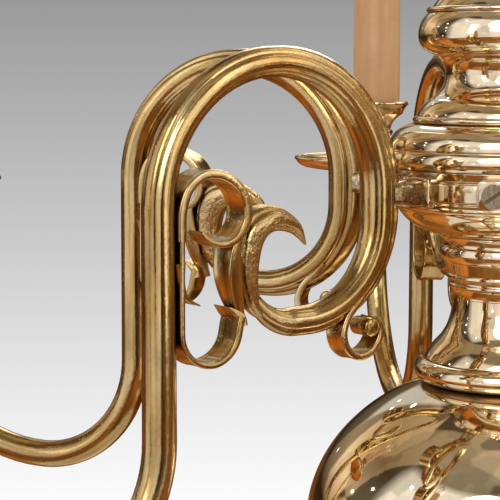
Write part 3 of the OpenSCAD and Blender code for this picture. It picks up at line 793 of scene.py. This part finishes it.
def cap_line():
    """The bulb's screw cap and the collar that holds its glass."""
    top = SLEEVE_TOP
    low = top - 18
    line = [(0.4, low)]
    for k in range(5):
        line += [(6.3, low + 1 + 3 * k), (7.1, low + 2.5 + 3 * k)]
    return line + [(7.1, top - 2.4), (8.4, top - 1.2), (7.6, top - 0.6), (0.4, top - 0.4)]


def filament_shape():
    """The glass stem in the bulb, two posts and a hairpin of coiled wire."""
    shape = Shape()
    low = SLEEVE_TOP - 1
    shape.turned([(0.3, low), (3.4, low), (2.6, low + 8), (1.2, low + 17), (0.3, low + 17.4)], around=24)
    for side in (-1, 1):
        post = [(side * 1.0, low + 16), (side * 2.6, low + 24), (side * 3.2, low + 34)]
        shape.sweep(flow(post, 5), round_wire(0.25), 8, 1.5)
    coil = [(-3.2 + 6.4 * k / 40, low + 34 + 5 * math.sin(math.pi * k / 40) + 0.35 * math.sin(2.6 * k))
            for k in range(41)]
    shape.sweep(coil, round_wire(0.16), 8, 0.3)
    return shape


def make_candles():
    # Outline, material, slot, CAD node, points round and unevenness of each turned piece
    rows = {
        "pan": (pan_line(), PAN_BRASS, "polished_brass", "drip_pan", 128, None),
        "cup": (soften(cup_line(), 0.4), BRASS, "polished_brass", "candle_cup", 96, None),
        "sleeve": (sleeve_line(), CARD, "candle", "candle_sleeve", 72, wax_ripple),
        "glass": (glass_line(), GLASS, "bulb_glass", "bulb", 72, None),
        "cap": (cap_line(), BRASS, "polished_brass", None, 64, None),
    }
    for part, (line, material, slot, node, around, ripple) in rows.items():
        shape = Shape()
        shape.turned(line, around=around, ripple=ripple)
        shape.build_each("candle." + part, material, slot, node, CANDLE_R)
    filament_shape().build_each("candle.filament", STEEL, "steel", out=CANDLE_R)


# ---------------------------------------------------------------- pull ring and kept CAD pieces
def make_ring():
    """The ring under the finial, a round wire bent into a circle across x."""
    low, high = (Vector(v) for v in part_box("pull_ring"))
    wire = (high.x - low.x) / 2 / MM
    radius = (high.z - low.z) / 2 / MM - wire
    mid = (centre("pull_ring").z - HUB) / MM
    ring, rings = Shape(), []
    for i in range(120):
        a = 2 * math.pi * i / 120
        loop = []
        for k in range(24):
            t = 2 * math.pi * k / 24
            d = radius + wire * math.cos(t)
            loop.append(ring.add((wire * math.sin(t), d * math.sin(a), mid + d * math.cos(a)),
                                 (wire * math.cos(t), wire * math.sin(t), radius * a)))
        rings.append(loop)
    ring.skin(rings, closed=True)
    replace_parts(ring.build("ring.wire", ARM_BRASS, "arm_brass", body="pull_ring"), "pull_ring")


def dress_cad():
    """Materials for the frame's own solids that stay in view."""
    looks = {"hanging_eye": EYE_BRASS, "bottom_finial": FINIAL_BRASS, "centre_rod": STEEL,
             "rod_nuts": STEEL, "arm_nuts": STEEL, "hub_screws": SCREW, "terminal_block": CERAMIC,
             "arm_wires": WIRE}
    looks.update({f"lampholder_{i + 1}": CERAMIC for i in range(ARMS)})
    for name, material in looks.items():
        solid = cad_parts[name]
        solid.data.materials.clear()
        solid.data.materials.append(material)


make_stem()
make_ball()
make_hub_pads()
make_arms()
make_candles()
make_ring()
dress_cad()


# ---------------------------------------------------------------- floor, light, camera, in metres
FLOOR_DROP = 1.1    # from the lowest point down to the floor

# The background that the camera sees, from low to high: place and grey
BACKDROP = [(0.0, 0.97), (0.25, 0.78), (0.5, 0.60), (0.75, 0.445), (1.0, 0.318)]
# The room that the brass mirrors, from straight down to straight up
ROOM = [(0.0, (0.44, 0.27, 0.12)), (0.28, (0.54, 0.21, 0.042)), (0.42, (0.14, 0.065, 0.022)),
        (0.485, (0.07, 0.045, 0.025)), (0.53, (0.42, 0.36, 0.27)), (0.63, (0.80, 0.75, 0.67)),
        (0.80, (0.34, 0.27, 0.17)), (1.0, (0.56, 0.50, 0.40))]
# A pale wall to one side of it: heading and half width in degrees, lowest and highest rise
PALE_WALL = (-172, 54, -0.30, 0.72)
# Bright panels round it: the same, and brightness
PANELS = [(-158, 9, 0.12, 0.60, 1.1), (-92, 7, 0.15, 0.55, 1.3), (-28, 16, 0.20, 0.75, 1.2),
          (172, 5, -0.05, 0.45, 1.2), (60, 14, 0.25, 0.7, 0.5)]
PATCH_EDGE = 0.06   # how softly the wall and the panels end above and below

# Lamps: name, place from the hub, width and power
LAMPS = [("key", (-1.5, -0.9, 1.0), 1.3, 13), ("fill", (0.7, -1.9, 0.3), 1.5, 9),
         ("back", (1.2, 1.2, 1.1), 1.1, 9)]

# The camera: heading and downward pitch in degrees, lens in millimetres, and its place from the hub
HEADING, PITCH, LENS = 36.6, 6.25, 122.4
EYE_BACK, EYE_LEFT, EYE_UP = 0.7225, 0.1124, 0.0521


def make_floor():
    """A pale disc, a metre in radius."""
    look = Look("pale_floor")
    spots = look.noise(look.position(), 3.0, 6.0)
    colour = look.mix(look.grade(spots, 0, 1), (0.85, 0.84, 0.82, 1), (0.80, 0.79, 0.77, 1))
    material = look.done(colour, look.grade(spots, 0.5, 0.7))
    mesh = bpy.data.meshes.new("floor")
    drop = CAD_BOX[0][2] - FLOOR_DROP
    rim = [(math.cos(2 * math.pi * i / 96), math.sin(2 * math.pi * i / 96), drop) for i in range(96)]
    mesh.from_pydata(rim, [], [tuple(range(96))])
    mesh.materials.append(material)
    floor = bpy.data.objects.new("floor", mesh)
    bpy.context.scene.collection.objects.link(floor)


class Studio(Nodes):
    """The world: plain and pale to the eye, and a soft room with dark gaps for the brass to mirror."""

    def __init__(self, tree):
        super().__init__(tree)
        self.way = self.node("ShaderNodeTexCoord").outputs["Generated"]
        parts = self.node("ShaderNodeSeparateXYZ", {"Vector": self.way})
        self.rise = parts.outputs[2]
        self.around = self.math("ARCTAN2", parts.outputs[1], parts.outputs[0])

    def patch(self, turn, wide, low, high):
        """1 within a heading and a band of heights, 0 outside."""
        off = self.math("SUBTRACT", self.around, math.radians(turn))
        off = self.node("ShaderNodeMath", {0: off, 1: math.pi, 2: -math.pi}, operation="WRAP").outputs[0]
        side = self.grade(self.math("ABSOLUTE", off), 1, 0, math.radians(wide) * 0.82, math.radians(wide))
        tall = self.math("MULTIPLY", self.grade(self.rise, 0, 1, low, low + PATCH_EDGE),
                         self.grade(self.rise, 1, 0, high, high + PATCH_EDGE))
        return self.math("MULTIPLY", side, tall)

    def cells(self, tall, scale):
        """Blocky patches, each with a value of its own."""
        inputs = {"Vector": self.stretched(self.way, (1, 1, tall)), "Scale": scale, "Smoothness": 0.1}
        cell = self.node("ShaderNodeTexVoronoi", inputs, feature="SMOOTH_F1", distance="CHEBYCHEV")
        return self.node("ShaderNodeSeparateColor", {"Color": cell.outputs["Color"]}).outputs[0]

    def room(self):
        """The colour that a mirrored ray sees."""
        broad, small = self.cells(0.6, 2.6), self.cells(0.45, 7.0)
        base = self.ramp(self.grade(self.rise, 0, 1, -1, 1), ROOM)
        room = self.mix(1.0, base, self.grade(broad, 0.20, 1.40, 0.15, 0.8), "MULTIPLY")
        room = self.mix(1.0, room, self.grade(small, 0.80, 1.12, 0.1, 0.9), "MULTIPLY")
        # Warmer and dimmer on the side away from the windows
        away = self.node("ShaderNodeVectorMath", {0: self.way, 1: (-0.7, -0.7, 0.1)},
                         operation="DOT_PRODUCT").outputs["Value"]
        room = self.mix(self.grade(away, 0.75, 0, -0.2, 0.6), room, (0.84, 0.64, 0.43, 1), "MULTIPLY")
        pale = self.math("MULTIPLY", self.patch(*PALE_WALL), self.grade(broad, 0.70, 0.97, 0.15, 0.5))
        room = self.mix(pale, room, self.mix(small, (1.16, 1.09, 1.02, 1), (0.90, 0.88, 0.92, 1)))
        glow = 0.0
        for *place, power in PANELS:
            glow = self.math("ADD", self.math("MULTIPLY", self.patch(*place), power), glow)
        dots = self.node("ShaderNodeTexVoronoi", {"Vector": self.way, "Scale": 5.2}).outputs["Distance"]
        lamps = self.math("MULTIPLY", self.grade(dots, 16, 0, 0.03, 0.09),
                          self.grade(self.rise, 0, 1, -0.15, 0.05))
        return self.mix(1.0, room, self.math("ADD", glow, lamps), "ADD")

    def finish(self):
        """Gives mirrored rays the room, the camera the backdrop, and all other light a plain pale tone."""
        path = self.node("ShaderNodeLightPath")
        greys = [(at, (g, g, g * 1.005)) for at, g in BACKDROP]
        plain = self.ramp(self.grade(self.rise, 0, 1, -0.25, 0.04), greys)
        soft = self.mix(path.outputs["Is Glossy Ray"], (0.86, 0.85, 0.83, 1), self.room())
        seen = self.mix(path.outputs["Is Camera Ray"], soft, plain)
        back = self.node("ShaderNodeBackground", {"Color": seen, "Strength": 1.0})
        self.node("ShaderNodeOutputWorld", {"Surface": back.outputs[0]})


def make_world():
    world = bpy.data.worlds.new("studio")
    bpy.context.scene.world = world
    world.use_nodes = True
    world.node_tree.nodes.clear()
    Studio(world.node_tree).finish()


def make_lights():
    middle = Vector((0, 0, HUB))
    for name, at, size, power in LAMPS:
        lamp = bpy.data.lights.new(name, "AREA")
        lamp.shape, lamp.size, lamp.energy = "DISK", size, power
        lamp.color = (1.0, 0.96, 0.90)
        thing = bpy.data.objects.new(name, lamp)
        thing.location = middle + Vector(at)
        thing.rotation_mode = "QUATERNION"
        thing.rotation_quaternion = (-Vector(at)).to_track_quat("-Z", "Y")
        bpy.context.scene.collection.objects.link(thing)


def make_camera():
    """The eye stands before the stem, turned from the first arm, a little to the left and above the hub."""
    turn, pitch = math.radians(HEADING), math.radians(PITCH)
    ahead = Vector((math.sin(turn), math.cos(turn), 0))
    right = Vector((math.cos(turn), -math.sin(turn), 0))
    lens = bpy.data.cameras.new("camera")
    lens.sensor_width, lens.lens = 36, LENS
    lens.clip_start, lens.clip_end = 0.05, 50
    eye = bpy.data.objects.new("camera", lens)
    eye.location = Vector((0, 0, HUB + EYE_UP)) - ahead * EYE_BACK - right * EYE_LEFT
    sight = ahead * math.cos(pitch) - Vector((0, 0, math.sin(pitch)))
    eye.rotation_mode = "QUATERNION"
    eye.rotation_quaternion = sight.to_track_quat("-Z", "Y")
    bpy.context.scene.collection.objects.link(eye)
    bpy.context.scene.camera = eye


make_floor()
make_world()
make_lights()
make_camera()
bpy.context.scene.view_settings.view_transform = "Standard"
